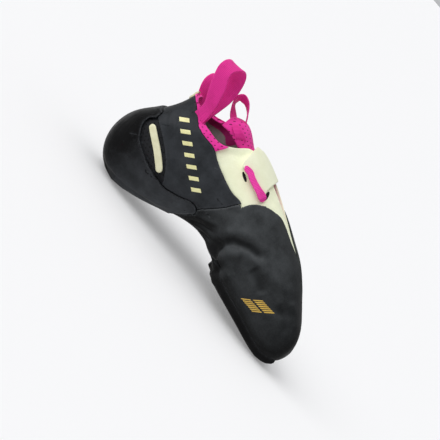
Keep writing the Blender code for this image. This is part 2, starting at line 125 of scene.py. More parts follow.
def addNode(tree, kind, settings=None, values=None, links=None):
    # kind is the node's type, values are socket values by name or index, links are (socket, output)
    node = tree.nodes.new(kind)
    for key, value in (settings or {}).items():
        setattr(node, key, value)
    for key, value in (values or {}).items():
        node.inputs[key].default_value = value
    for key, source in (links or {}).items():
        tree.links.new(source, node.inputs[key])
    return node


def newMaterial(name):
    material = bpy.data.materials.new(name)
    material.use_nodes = True
    tree = material.node_tree
    tree.nodes.clear()
    shader = addNode(tree, "ShaderNodeBsdfPrincipled")
    output = addNode(tree, "ShaderNodeOutputMaterial", links={"Surface": shader.outputs["BSDF"]})
    output.location = (300, 0)
    coords = addNode(tree, "ShaderNodeTexCoord")
    return material, tree, shader, coords.outputs["Object"]


def finished(material, base, relief, values):
    tree = material.node_tree
    shader = tree.nodes["Principled BSDF"]
    tree.links.new(base, shader.inputs["Base Color"])
    tree.links.new(relief, shader.inputs["Normal"])
    for name, value in values.items():
        shader.inputs[name].default_value = value
    return material


def perMetre(millimetres):
    # scale of a noise whose grain is that many millimetres
    return 1000.0 / millimetres


# Materials

def noise(tree, coords, grain, detail=3.0, roughness=.55, stretch=None):
    # a noise whose grain is in millimetres, longer along the axes with a stretch over 1
    if stretch:
        coords = addNode(tree, "ShaderNodeMapping",
                         values={"Scale": tuple(1 / share for share in stretch)},
                         links={"Vector": coords}).outputs["Vector"]
    made = addNode(tree, "ShaderNodeTexNoise",
                   values={"Scale": perMetre(grain), "Detail": detail, "Roughness": roughness},
                   links={"Vector": coords})
    return made.outputs["Fac"]


def ranged(tree, value, low, high, toLow=0.0, toHigh=1.0):
    made = addNode(tree, "ShaderNodeMapRange", {"clamp": True},
                   {"From Min": low, "From Max": high, "To Min": toLow, "To Max": toHigh},
                   {"Value": value})
    return made.outputs["Result"]


def mixed(tree, share, first, second):
    # first and second are hex colours or colour outputs
    made = addNode(tree, "ShaderNodeMix", {"data_type": "RGBA"})
    inputs = [socket for socket in made.inputs if socket.type == "RGBA"]
    for socket, colour in zip(inputs, (first, second)):
        if isinstance(colour, str):
            socket.default_value = linear(colour)
        else:
            tree.links.new(colour, socket)
    factor = made.inputs[0]
    if isinstance(share, float):
        factor.default_value = share
    else:
        tree.links.new(share, factor)
    return [socket for socket in made.outputs if socket.type == "RGBA"][0]


def maths(tree, operation, first, second=None):
    made = addNode(tree, "ShaderNodeMath", {"operation": operation, "use_clamp": False})
    for index, value in enumerate((first, second)):
        if value is None:
            continue
        if isinstance(value, (int, float)):
            made.inputs[index].default_value = value
        else:
            tree.links.new(value, made.inputs[index])
    return made.outputs[0]


def bump(tree, height, depth, under=None):
    # depth is in millimetres
    links = {"Height": height}
    if under is not None:
        links["Normal"] = under
    made = addNode(tree, "ShaderNodeBump", values={"Strength": 1.0, "Distance": depth * mm}, links=links)
    return made.outputs["Normal"]


def axis(tree, vector, index):
    return addNode(tree, "ShaderNodeSeparateXYZ", links={"Vector": vector}).outputs[index]


# painted light: the rubber is greyer on the faces that look this way, up and back
paintedLightSide = (-.42, -.12, .90)


def rubber(name, dark, litAndDustyGrey, worn, lightAndDust, gloss, way=paintedLightSide, low=-.35, high=.75):
    # painted light: greyer where the surface faces the given way, under dust streaks and worn rims
    material, tree, shader, coords = newMaterial(name)
    facing = addNode(tree, "ShaderNodeVectorMath", {"operation": "DOT_PRODUCT"}, {1: way},
                     {0: addNode(tree, "ShaderNodeNewGeometry").outputs["Normal"]}).outputs["Value"]
    cloud = noise(tree, coords, 14, 4, .6)
    fine = noise(tree, coords, 1.1, 3, .65)
    streak = noise(tree, coords, 3.5, 4, .6, (4, 1, 1.6))
    # painted light: the share of grey set by how far the surface faces the lit way
    litShare = ranged(tree, facing, low, high)
    grey = maths(tree, "MULTIPLY", litShare, ranged(tree, cloud, .25, .75, .45, 1.15))
    grey = maths(tree, "ADD", grey, maths(tree, "MULTIPLY", maths(tree, "SUBTRACT", fine, .5), .3))
    grey = ranged(tree, grey, .05, 1.1, 0, lightAndDust)
    base = mixed(tree, grey, dark, litAndDustyGrey)
    scuff = ranged(tree, streak, .58, .78, 0, .16)
    base = mixed(tree, scuff, base, litAndDustyGrey)
    wear = addNode(tree, "ShaderNodeAttribute", {"attribute_name": "wear"}).outputs["Fac"]
    rubbed = maths(tree, "MULTIPLY", wear, ranged(tree, fine, .35, .65, .05, .75))
    base = mixed(tree, rubbed, base, worn)
    # painted shade: darker where the creases are deep
    creaseShade = addNode(tree, "ShaderNodeAttribute", {"attribute_name": "creaseShade"}).outputs["Fac"]
    base = mixed(tree, ranged(tree, creaseShade, .25, 1, 0, .85), base, dark)
    tree.links.new(ranged(tree, cloud, .3, .7, gloss, gloss + .16), shader.inputs["Roughness"])
    relief = bump(tree, fine, .05)
    relief = bump(tree, streak, .06, relief)
    relief = bump(tree, cloud, .5, relief)
    return finished(material, base, relief, {"Specular IOR Level": .1})


def leather(name, light, shade, grainDepth=.05):
    material, tree, shader, coords = newMaterial(name)
    cloud = noise(tree, coords, 16, 4, .6)
    grain = addNode(tree, "ShaderNodeTexVoronoi", values={"Scale": perMetre(.9)}, links={"Vector": coords})
    fuzz = noise(tree, coords, .5, 3, .7)
    base = mixed(tree, ranged(tree, cloud, .42, .72, 0, .5), light, shade)
    relief = bump(tree, grain.outputs["Distance"], grainDepth)
    relief = bump(tree, fuzz, grainDepth, relief)
    relief = bump(tree, cloud, .6, relief)
    return finished(material, base, relief, {"Roughness": .78, "Specular IOR Level": .3, "Sheen Weight": .15})


def ribbed(name, light, shade, ribs, sheen=.3):
    # a woven tape, its ribs counted in millimetres along it
    material, tree, shader, coords = newMaterial(name)
    along = addNode(tree, "ShaderNodeUVMap", {"uv_map": "tapeMap"}).outputs["UV"]
    wave = maths(tree, "SINE", maths(tree, "MULTIPLY", axis(tree, along, 0), 2 * math.pi * perMetre(ribs)))
    rib = ranged(tree, wave, -1, 1)
    thread = noise(tree, coords, .6, 2, .6)
    cloud = noise(tree, coords, 9, 3, .6)
    tone = maths(tree, "ADD", maths(tree, "MULTIPLY", rib, .6), maths(tree, "MULTIPLY", thread, .4))
    base = mixed(tree, ranged(tree, tone, .1, .7, .35, 1), shade, light)
    base = mixed(tree, ranged(tree, cloud, .5, .8, 0, .35), base, shade)
    relief = bump(tree, rib, .12)
    relief = bump(tree, thread, .1, relief)
    return finished(material, base, relief,
                    {"Roughness": .7, "Specular IOR Level": .3, "Sheen Weight": sheen})


def perforated(name, light, shade, hole, pitch, size, mapName, sheen=.25):
    # cloth or microfibre with a staggered grid of small punched holes
    material, tree, shader, coords = newMaterial(name)
    flat = addNode(tree, "ShaderNodeUVMap", {"uv_map": mapName}).outputs["UV"]
    u = maths(tree, "MULTIPLY", axis(tree, flat, 0), perMetre(pitch))
    v = maths(tree, "MULTIPLY", axis(tree, flat, 1), perMetre(pitch) * 1.16)
    row = maths(tree, "FLOOR", v)
    odd = maths(tree, "MULTIPLY", maths(tree, "MODULO", maths(tree, "ABSOLUTE", row), 2), .5)
    du = maths(tree, "SUBTRACT", maths(tree, "FRACT", maths(tree, "ADD", u, odd)), .5)
    dv = maths(tree, "SUBTRACT", maths(tree, "FRACT", v), .5)
    square = maths(tree, "ADD", maths(tree, "MULTIPLY", du, du), maths(tree, "MULTIPLY", dv, dv))
    gap = maths(tree, "SQRT", square)
    rim = ranged(tree, gap, size / pitch * .42, size / pitch * .58)
    cloud = noise(tree, coords, 8, 3, .6)
    fine = noise(tree, coords, .5, 2, .7)
    base = mixed(tree, ranged(tree, cloud, .4, .75, 0, .7), light, shade)
    base = mixed(tree, rim, hole, base)
    relief = bump(tree, rim, .45)
    relief = bump(tree, fine, .06, relief)
    return finished(material, base, relief,
                    {"Roughness": .8, "Specular IOR Level": .25, "Sheen Weight": sheen})


def lining(name, light, shade, cuffColour):
    # grey cloth that turns to the cuff's colour close to the cuff
    material, tree, shader, coords = newMaterial(name)
    weave = noise(tree, coords, .7)
    gap = addNode(tree, "ShaderNodeAttribute", {"attribute_name": "cuffGap"}).outputs["Fac"]
    cloth = mixed(tree, weave, light, shade)
    base = mixed(tree, ranged(tree, gap, 3.2, 3.9), cuffColour, cloth)
    return finished(material, base, bump(tree, weave, .1), {"Roughness": .9})


def plain(name, light, shade, roughness, grain=1.0, depth=.05, sheen=0.0):
    material, tree, shader, coords = newMaterial(name)
    cloud = noise(tree, coords, 6, 4, .6)
    fine = noise(tree, coords, grain, 3, .65)
    base = mixed(tree, ranged(tree, cloud, .42, .72, 0, .6), light, shade)
    return finished(material, base, bump(tree, fine, depth), {"Roughness": roughness, "Sheen Weight": sheen})


# the direction given to a rubber is the side that its painted light makes greyer
randRubber = rubber("rand_rubber", "050607", "4b4e50", "4c4e50", .95, .46, (-.60, -.50, .62), -.05, .85)
soleRubber = rubber("sole_rubber", "040405", "303133", "3c3e40", .7, .5)
cupRubber = rubber("cup_rubber", "020203", "4c4f53", "4a4c50", 1.0, .38, (.78, -.50, -.38), .22, .95)
bandRubber = rubber("band_rubber", "040506", "3c3f43", "44464a", .95, .42, (.15, -.85, .45), -.3, .9)
paleLeather = leather("pale_microfibre", "f8fbdc", "e9edc2")
strapLeather = leather("strap_microfibre", "eceed2", "d9dcb6")
pinkWebbing = ribbed("pink_webbing", "f545ae", "c8127c", 1.2, .1)
loopWebbing = ribbed("loop_webbing", "ee2f9c", "b00560", 1.15, .1)
pinkMesh = perforated("pink_mesh", "f03ba4", "d01c82", "86104f", 3.4, 1.0, "holeMap", .1)
windowPanel = perforated("window_microfibre", "222326", "17181b", "030304", 3.4, 1.1, "holeMap", 0.0)
liningCloth = lining("grey_lining", "d2cfca", "b6b2ad", "d8308f")
palePrint = plain("pale_print", "f0ecb0", "dcd392", .42, 2.0, .03)
barPaint = plain("bar_paint", "ece9c6", "d6d2a8", .45, 2.0, .03)
goldPrint = plain("gold_print", "dcb54c", "b98d30", .4, 1.4, .04)
boardFibre = plain("board_fibre", "b79f80", "96805f", .9, 1.0, .12)


# Mesh helpers

def cadCopy(node):
    # a merged copy of a CAD node's mesh
    copy = bmesh.new()
    copy.from_mesh(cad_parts[node].data)
    bmesh.ops.remove_doubles(copy, verts=copy.verts, dist=0.00001)
    return copy


def joined(meshData):
    # pairs of triangles made into four-sided faces
    bmesh.ops.join_triangles(meshData, faces=meshData.faces, angle_face_threshold=math.pi,
                             angle_shape_threshold=math.pi)
    return meshData


def addPiece(name, meshData, *materials):
    mesh = bpy.data.meshes.new(name)
    meshData.to_mesh(mesh)
    meshData.free()
    mesh.shade_smooth()
    for material in materials:
        mesh.materials.append(material)
    piece = bpy.data.objects.new(name, mesh)
    bpy.context.collection.objects.link(piece)
    return piece


def subdivided(piece, levels):
    # the softened mesh takes the coarse one's place
    modifier = piece.modifiers.new("softer", "SUBSURF")
    modifier.levels = levels
    modifier.render_levels = levels
    depsgraph = bpy.context.evaluated_depsgraph_get()
    mesh = bpy.data.meshes.new_from_object(piece.evaluated_get(depsgraph))
    piece.modifiers.clear()
    piece.data = mesh
    return piece


def creaseSharp(meshData, angle, strength):
    layer = meshData.edges.layers.float.new("crease_edge")
    for edge in meshData.edges:
        if len(edge.link_faces) == 2 and edge.calc_face_angle() > math.radians(angle):
            edge[layer] = strength


def mapFlat(piece, across):
    # a map in metres for patterns, laid from the shoe's side or around its length
    mesh = piece.data
    layer = mesh.uv_layers.new(name="holeMap")
    for loop in mesh.loops:
        place = mesh.vertices[loop.vertex_index].co
        layer.data[loop.index].uv = across(place)


def fromSide(place):
    return place.x, place.z


def aroundLength(place):
    return place.x * .85 - place.z * .53, math.atan2(place.y, place.z - .060) * .034


def coordinates(mesh):
    places = np.empty(len(mesh.vertices) * 3)
    mesh.vertices.foreach_get("co", places)
    return places.reshape(-1, 3)


def setCoordinates(mesh, places):
    mesh.vertices.foreach_set("co", places.reshape(-1))
    mesh.update()


def smoothStep(low, high, value):
    share = np.clip((value - low) / (high - low), 0, 1)
    return share * share * (3 - 2 * share)


# The last's middle line, heel to toe, tells the outside of the wall from the inside
lastMiddle = [(-.004, 0, .045), (.020, 0, .050), (.070, .002, .060), (.105, 0, .050),
              (.140, -.006, .038), (.168, -.010, .027), (.186, -.014, .022)]


def nearMiddle(point):
    best = None
    for first, last in zip(lastMiddle, lastMiddle[1:]):
        start = Vector(first)
        run = Vector(last) - start
        share = min(max((point - start).dot(run) / run.length_squared, 0), 1)
        place = start + run * share
        if best is None or (point - place).length < (point - best).length:
            best = place
    return best


class Surface:
    # nearest places on a surface, with smooth normals

    def __init__(self, mesh, wanted=None):
        self.normals = [vertex.normal.copy() for vertex in mesh.vertices]
        self.places = [vertex.co.copy() for vertex in mesh.vertices]
        self.faces = [tuple(polygon.vertices) for polygon in mesh.polygons
                      if wanted is None or wanted(polygon)]
        self.tree = BVHTree.FromPolygons(self.places, self.faces)

    def near(self, point):
        place, flatNormal, index, gap = self.tree.find_nearest(point)
        normal = Vector((0, 0, 0))
        for corner in self.faces[index]:
            normal += self.normals[corner] / ((self.places[corner] - place).length + 1e-6)
        return place, normal.normalized(), gap


# Creases and dents, in millimetres from the heel's back and from the floor or the middle line.
# A positive depth is a trough and a negative one a ridge. Each row: side, width, depth and route.
heelBack = .032
medial, lateral, top = -1, 1, 0
folds = [
    # the deep crease of the inner arch and the swell inside it
    (medial, 4.2, 3.8, [(137, 16), (134.6, 26), (129.4, 33.5), (128.5, 43)]),
    (medial, 3, 2.1, [(129, 41), (133.8, 50), (145.4, 56.5), (158.5, 59)]),
    (medial, 5, -1.7, [(136, 29), (138, 41), (146, 49)]),
    (medial, 3.2, 1.8, [(139, 19), (142, 25), (143, 30)]),
    (medial, 3.6, -.9, [(146, 15), (150, 24), (151, 34)]),
    (medial, 4, -.9, [(124, 47), (129, 56), (141, 63), (160, 65)]),
    # the hollow and the swell over the ball
    (medial, 4.6, 1.7, [(158, 48), (167, 46), (179, 42)]),
    (medial, 4, -.9, [(153, 52), (172, 54), (194, 56)]),
    (medial, 3.4, .7, [(176, 36), (190, 38), (204, 44)]),
    (medial, 2.6, -.9, [(196, 52), (206, 47), (216, 38)]),
    (medial, 3, .8, [(192, 46), (203, 41), (213, 32)]),
    # stretch lines from the arch to the heel
    (medial, 1.7, 1.2, [(97, 30), (107, 36), (119, 41)]),
    (medial, 1.5, 1.0, [(104, 29), (113, 32), (124, 34)]),
    (medial, 2, -.7, [(96, 36), (106, 42), (117, 48)]),
    (medial, 1.4, .7, [(98, 24), (108, 26.5), (122, 27)]),
    (medial, 3, .6, [(99, 50), (110, 60), (121, 66)]),
    # the edge of the layer under the slingshot band
    (medial, 1.6, .4, [(27, 79), (38, 69), (53, 58), (69, 45)]),
    # soft give in the leather
    (medial, 1.8, .7, [(124, 94), (131, 89), (139, 85)]),
    (medial, 2.6, .6, [(76, 87), (86, 93), (93, 101)]),
    (lateral, 3.2, 1.4, [(128, 44), (138, 49), (150, 50), (160, 47)]),
    (lateral, 3, .9, [(104, 34), (118, 36), (130, 34)]),
    (lateral, 2.8, .7, [(192, 50), (203, 45), (214, 36)]),
    (lateral, 2.6, .6, [(76, 84), (86, 90), (93, 97)]),
    (top, 2.2, -.5, [(150, -14), (172, -16), (194, -17)]),
    (top, 1.6, .7, [(127, -22), (136, -17), (146, -13)]),
    (top, 1.6, .6, [(127, 16), (136, 10), (146, 3)]),
]
# these lie on both sides, a little lower on the outer one: width, depth, drop and route
bothSides = [
    # the heel cup's rim, its dished side and the edge of the layer under the slingshot band
    (1.5, .9, 4, [(13, 66), (7, 58), (4, 44), (4, 31), (6.5, 20), (13, 12), (24, 8), (44, 10), (72, 18),
                  (86, 28)]),
    (7, 1.2, 4, [(12, 50), (13, 36), (22, 22), (42, 19), (62, 23)]),
    (1.3, -.5, 4, [(24, 76), (35, 66), (50, 55), (66, 42)]),
]
for width, level, drop, route in bothSides:
    folds.append((medial, width, level, route))
    folds.append((lateral, width, level, [(x, z - drop) for x, z in route]))


def routeDistance(u, v, route):
    # distance of each place to a route in its plane, and the share of the way along it
    best = np.full(u.shape, 1e9)
    along = np.zeros(u.shape)
    count = len(route) - 1
    for index, (first, last) in enumerate(zip(route, route[1:])):
        du, dv = last[0] - first[0], last[1] - first[1]
        share = np.clip(((u - first[0]) * du + (v - first[1]) * dv) / (du * du + dv * dv), 0, 1)
        gap = np.hypot(u - first[0] - du * share, v - first[1] - dv * share)
        nearer = gap < best
        best = np.where(nearer, gap, best)
        along = np.where(nearer, (index + share) / count, along)
    return best, along


def foldDepth(places, normals):
    # how far the skin is pressed in at each place, in metres
    x = (places[:, 0] + heelBack) / mm
    y = places[:, 1] / mm
    z = places[:, 2] / mm
    depth = np.zeros(len(places))
    for side, width, level, route in folds:
        if side == top:
            gap, along = routeDistance(x, y, route)
            near = smoothStep(.3, .6, normals[:, 2])
        else:
            gap, along = routeDistance(x, z, route)
            near = smoothStep(2, 8, y * side)
        fade = np.clip(np.minimum(along, 1 - along) * 5 + .25, 0, 1)
        depth += level * np.exp(-(gap / width) ** 2) * near * fade
    return depth * mm


# The leather, its lining and the window panel are parts of one wall
upperMaterials = [paleLeather, liningCloth, bandRubber, windowPanel, pinkMesh]
liningSlot, hiddenSlot, windowSlot, cuffSlot = range(1, 5)

# The upper's skin, smooth: every layer of leather and rubber is laid on it
skinData = joined(cadCopy("upper"))
for face in skinData.faces:
    centre = face.calc_center_median()
    inside = (centre - nearMiddle(centre)).dot(face.normal) < 0
    face.material_index = liningSlot if inside else 0
upperShape = {"angle": 50, "crease": .7, "levels": 2}
creaseSharp(skinData, upperShape["angle"], upperShape["crease"])
upper = subdivided(addPiece("upper_leather", skinData), upperShape["levels"])
smoothSkin = Surface(upper.data, lambda polygon: polygon.material_index != liningSlot)
flatSkin = Surface(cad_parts["upper"].data)


def folded(piece, reach=12):
    # the creases pressed into a piece that lies on the skin, along the skin's own normals
    places = coordinates(piece.data)
    feet = np.empty_like(places)
    normals = np.empty_like(places)
    gaps = np.empty(len(places))
    for index, place in enumerate(places):
        foot, normal, gap = smoothSkin.near(Vector(place))
        feet[index] = foot
        normals[index] = normal
        gaps[index] = gap / mm
    depth = foldDepth(feet, normals) * (1 - smoothStep(reach * .5, reach, gaps))
    # the crease depth also sets painted shade, darker in the deeper creases
    creaseShade = piece.data.attributes.new("creaseShade", "FLOAT", "POINT")
    creaseShade.data.foreach_set("value", np.clip(depth / (2.5 * mm), 0, 1))
    floorKeep = smoothStep(.3, 5, places[:, 2] / mm)
    places -= normals * (depth * floorKeep)[:, None]
    setCoordinates(piece.data, places)
    return piece


report("skin")


# Layers of rubber on the skin

def longRuns(edges, least):
    # the runs of joined edges that are longer than the least length
    waiting = set(edges)
    kept = []
    while waiting:
        run = [waiting.pop()]
        for edge in run:
            for other in [near for vertex in edge.verts for near in vertex.link_edges if near in waiting]:
                waiting.discard(other)
                run.append(other)
        if sum(edge.calc_length() for edge in run) > least:
            kept += run
    return kept


def refined(meshData, limit, edgeLimit, edgeReach, sharpAngle=38):
    # long edges are cut until the mesh is fine, finer still beside its sharp edges
    sharp = [edge for edge in meshData.edges
             if len(edge.link_faces) == 2 and edge.calc_face_angle() > math.radians(sharpAngle)]
    sharp = longRuns(sharp, 15 * mm)
    points = []
    for edge in sharp:
        first, last = edge.verts[0].co, edge.verts[1].co
        steps = max(1, round((last - first).length / (.4 * mm)))
        points += [first.lerp(last, step / steps) for step in range(steps + 1)]
    rim = KDTree(len(points))
    for index, point in enumerate(points):
        rim.insert(point, index)
    rim.balance()
    for turn in range(7):
        long = []
        for edge in meshData.edges:
            length = edge.calc_length()
            if length > limit:
                long.append(edge)
            elif length > edgeLimit:
                middle = (edge.verts[0].co + edge.verts[1].co) / 2
                if rim.find(middle)[2] < edgeReach + length * .5:
                    long.append(edge)
        if not long:
            break
        bmesh.ops.subdivide_edges(meshData, edges=long, cuts=1)
        bmesh.ops.triangulate(meshData, faces=[face for face in meshData.faces if len(face.verts) > 3])
    return rim


def softened(meshData, rim, reach, turns):
    # evens out a fine mesh beside its sharp edges, all over with no reach, and keeps its flats
    near = [vertex for vertex in meshData.verts
            if vertex.co.z > .1 * mm and (reach is None or rim.find(vertex.co)[2] < reach * mm)]
    for turn in range(turns):
        bmesh.ops.smooth_vert(meshData, verts=near, factor=.5, use_axis_x=True, use_axis_y=True,
                              use_axis_z=True)


# where the rubber's edge on the inner side lies a little off its CAD line: place, how far it goes
# forward and up, and the reach, in millimetres from the heel's back
edgeShifts = [((115, 67), (-1.0, 4.0), 9), ((128, 85), (.5, -4.2), 8), ((139, 88), (0, -2.2), 8),
              ((46, 44), (2.2, 2.8), 26)]
innerSide = -.004


def shifted(point):
    total = Vector((0, 0, 0))
    if point.y > innerSide:
        return total
    for (x, z), (ahead, up), reach in edgeShifts:
        gap = math.hypot((point.x + heelBack) / mm - x, point.z / mm - z) / reach
        total += Vector((ahead, 0, up)) * math.exp(-gap * gap) * mm
    return total


# places where the photo's form goes past the CAD's: the side, the middle and reach seen from the
# side, and the move, in millimetres
swells = [
    {"nodes": ("upper", "collar", "heel_band"), "side": lateral, "middle": (61, 93), "reach": (14, 22),
     "move": (0, 0, 7.5)},
    {"nodes": ("upper", "collar"), "side": medial, "middle": (88, 105), "reach": (9, 9),
     "move": (-2.0, 0, 3.0)},
    {"nodes": ("strap",), "side": medial, "middle": (94, 110), "reach": (8, 13),
     "move": (-5.0, 0, 1.2)},
]


def swelled(piece, node):
    places = coordinates(piece.data)
    for swell in swells:
        if node not in swell["nodes"]:
            continue
        across = ((places[:, 0] + heelBack) / mm - swell["middle"][0]) / swell["reach"][0]
        up = (places[:, 2] / mm - swell["middle"][1]) / swell["reach"][1]
        share = np.exp(-across ** 2 - up ** 2) * smoothStep(0, 8, places[:, 1] / mm * swell["side"])
        places += share[:, None] * np.array(swell["move"]) * mm
    setCoordinates(piece.data, places)
    return piece


# the sole's upper edge: how high it ends, between which heights it thins out, and how its tip lies back
soleEdge = {"keep": -.2, "start": 1.2, "full": 3.8, "tip": .190, "back": .28}


def feathered(piece, base):
    # the sole's upper edge thins out against the rubber above it
    keep = soleEdge["keep"]
    surface = Surface(base.data)
    places = coordinates(piece.data)
    for place in places:
        foot, normal, gap = surface.near(Vector(place))
        height = (Vector(place) - foot).dot(normal) / mm
        if height > keep:
            drop = (height - keep) * (1 - smoothStep(soleEdge["start"], soleEdge["full"], height))
            place -= np.array(normal) * drop * mm * smoothStep(.2, 2, place[2] / mm)
    # its tip lies back under the toe
    places[:, 0] -= np.maximum(places[:, 0] - soleEdge["tip"], 0) * soleEdge["back"]
    setCoordinates(piece.data, places)


# for every layer, in millimetres: its longest edge, the longest beside its rim, how far the rim is
# softened and worn, the edge's least height, and how much higher than its thickness a place may lie
layering = {"longest": 1.9, "rimLongest": .55, "softReach": 1.6, "wearReach": 1.1, "least": .32,
            "spare": 1.1, "looseSpare": 3.5}


def layer(name, node, material, thickness, rounding, turns=5, laid=True):
    # a CAD layer laid on the smooth skin, its outer edges rounded, then creased with it
    meshData = cadCopy(node)
    rim = refined(meshData, layering["longest"] * mm, layering["rimLongest"] * mm, rounding * mm)
    softened(meshData, rim, layering["softReach"] if laid else None, turns)
    highest = (thickness + layering["spare" if laid else "looseSpare"]) * mm
    piece = addPiece(name, meshData, material)
    places = coordinates(piece.data)
    rubs = np.zeros(len(places))
    for index, place in enumerate(places):
        point = Vector(place)
        edgeGap = rim.find(point)[2] / mm
        rubs[index] = math.exp(-(edgeGap / layering["wearReach"]) ** 2)
        flatPlace, flatNormal, face, height = flatSkin.tree.find_nearest(point)
        if height > highest:
            continue
        foot, normal, gap = smoothSkin.near(flatPlace + shifted(flatPlace))
        away = (point - flatPlace).normalized()
        hold = abs(away.dot(flatNormal))
        weight = min(max((hold - .7) / .25, 0), 1) * min(max(point.z / (4 * mm), 0), 1) if laid else 0
        sunk = 0
        if edgeGap < rounding and height > .35 * mm:
            turn = 1 - edgeGap / rounding
            lift = math.sqrt(max(1 - turn * turn, 0)) * .8 + .2
            sunk = (1 - lift) * min(height - layering["least"] * mm, rounding * mm)
        moved = foot + normal * height
        way = normal if laid else away
        place[:] = point.lerp(moved, weight) - way * sunk * min(max(point.z / (2 * mm), 0), 1)
    setCoordinates(piece.data, places)
    wear = piece.data.attributes.new("wear", "FLOAT", "POINT")
    wear.data.foreach_set("value", rubs)
    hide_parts(node)
    return swelled(folded(piece), node)


layerShapes = {
    "toe_rand": {"material": randRubber, "thickness": 1.7, "rounding": 1.0},
    "heel_band": {"material": bandRubber, "thickness": 1.3, "rounding": .8},
    "heel_cup": {"material": cupRubber, "thickness": 3.1, "rounding": 1.6, "turns": 10},
    "outsole": {"material": soleRubber, "thickness": 3.5, "rounding": 1.4, "turns": 8, "laid": False},
    "heel_bar_medial": {"material": barPaint, "thickness": 1.3, "rounding": .9},
    "heel_bar_lateral": {"material": barPaint, "thickness": 1.3, "rounding": .9},
}
layers = {}
for node, shape in layerShapes.items():
    layers[node] = layer(node + "_layer", node, **shape)
    report(node)
feathered(layers["outsole"], layers["toe_rand"])


# Webbing tapes, swept between their two edges

def curved(points, steps):
    # a smooth run through the points
    points = [Vector(point) for point in points]
    ends = [points[0] * 2 - points[1]] + points + [points[-1] * 2 - points[-2]]
    run = []
    for a, b, c, d in zip(ends, ends[1:], ends[2:], ends[3:]):
        for step in range(steps):
            t = step / steps
            run.append(((b * 2) + (c - a) * t + (a * 2 - b * 5 + c * 4 - d) * t * t
                        + (b * 3 - a - c * 3 + d) * t * t * t) / 2)
    return run + [points[-1]]


# across the tape: how far out from its middle, and the share of its thickness there
tapeProfile = [(-1, .25), (-.965, .8), (-.9, 1), (-.45, .92), (0, .9), (.45, .92), (.9, 1),
               (.965, .8), (1, .25)]


def tape(name, rear, front, thickness, material, node, steps=7, cup=0.0):
    # rear and front are the tape's two edges in millimetres, cup is how far its middle bows out
    rears = [point * mm for point in curved(rear, steps)]
    fronts = [point * mm for point in curved(front, steps)]
    middles = [(a + b) / 2 for a, b in zip(rears, fronts)]
    data = bmesh.new()
    uv = data.loops.layers.uv.new("tapeMap")
    rings = []
    widest = max((a - b).length for a, b in zip(rears, fronts))
    lengths = [0]
    for first, last in zip(middles, middles[1:]):
        lengths.append(lengths[-1] + (last - first).length)
    for index, (a, b) in enumerate(zip(rears, fronts)):
        before = middles[max(index - 1, 0)]
        after = middles[min(index + 1, len(middles) - 1)]
        face = (after - before).cross(b - a).normalized()
        ring = []
        for turn in (1, -1):
            for place, share in tapeProfile if turn > 0 else tapeProfile[::-1]:
                bow = face * cup * mm * (1 - place * place) * (a - b).length / widest
                spot = a.lerp(b, (place + 1) / 2) + bow + face * (turn * share * thickness / 2 * mm)
                ring.append(data.verts.new(spot))
        rings.append(ring)
    count = len(rings[0])
    width = (rears[0] - fronts[0]).length
    places = [place for place, share in tapeProfile] + [place for place, share in tapeProfile[::-1]]
    for row in range(len(rings) - 1):
        for index in range(count):
            after = (index + 1) % count
            face = data.faces.new((rings[row][index], rings[row][after], rings[row + 1][after],
                                   rings[row + 1][index]))
            for loop, (line, column) in zip(face.loops, ((row, index), (row, after), (row + 1, after),
                                                         (row + 1, index))):
                loop[uv].uv = (lengths[line], places[column] * width / 2)
    data.faces.new(rings[0][::-1])
    data.faces.new(rings[-1])
    bmesh.ops.recalc_face_normals(data, faces=data.faces)
    piece = addPiece(name, data, material)
    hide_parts(node)
    return piece


# Each tape's rear and front edges, in millimetres from the heel's resting spot
tapes = {
    "pull_loop_medial": {
        "rear": [(4, -17.5, 84), (5, -20.5, 92), (4.5, -23, 100), (0, -25, 108), (-6, -26, 119),
                 (-9.5, -25, 127), (-9.8, -22, 133.2), (-7.6, -17, 136.2), (-4.5, -12, 134.4),
                 (-.5, -8, 127.5), (3.5, -8, 116), (7, -11, 103), (9, -13.5, 94), (9.5, -15, 86)],
        "front": [(17, -20, 80), (16, -22, 89), (14.8, -23.5, 98.5), (12.5, -25, 108),
                  (8.5, -26.5, 118.5), (3, -26.5, 127.5), (2.4, -24, 133), (6.8, -17.5, 138.2),
                  (11, -12.5, 135.4), (14.6, -8.5, 127), (17.3, -9, 115), (17.2, -12, 104),
                  (16.5, -15, 94), (17, -17, 85)],
        "thickness": 1.3, "cup": .5},
    "pull_loop_lateral": {
        "rear": [(0, 5.5, 86), (-6, 7, 95), (-10.5, 9, 102.5), (-12.4, 12, 108.5), (-11.5, 17, 113.5),
                 (-9, 23, 111), (-5, 26, 102), (0, 25.5, 93), (3, 24, 85)],
        "front": [(10, 13, 84), (6, 15, 95), (3, 16, 105), (1, 17.5, 112.5), (1, 21.5, 118.5),
                  (4, 27, 116), (8, 30, 106), (12, 28, 95), (15, 26.5, 84)],
        "thickness": 1.3, "cup": .3},
    "tongue_loop": {
        "rear": [(42.5, -2.8, 94), (40.9, -3.4, 96.6), (33.3, -6, 100.4), (24.6, -4.2, 105.4),
                 (19.4, -4.2, 112), (16.8, -4.2, 117), (16.4, -3.6, 121.4), (19.4, -2, 125),
                 (24.8, -2.4, 124.2), (29.2, -3.2, 121), (33.8, -4.2, 115.4), (37.5, -3.8, 110.6),
                 (42.2, -3.2, 104.2), (45, -2.6, 100)],
        "front": [(48, -1.5, 100.4), (46.1, -1, 102.4), (36.5, .4, 103.7), (27.2, 2.4, 108.5),
                  (20, 4.2, 112.6), (19.4, 4, 116.4), (20, 3, 118.2), (22.2, 2.6, 118.6),
                  (25.3, 3, 119), (29.3, 3.6, 117.4), (33.6, 4.2, 114.2), (36, 4.4, 110.3),
                  (39.5, 4.2, 103.9), (42, 4.2, 99)],
        "thickness": 1.1, "cup": .2},
}

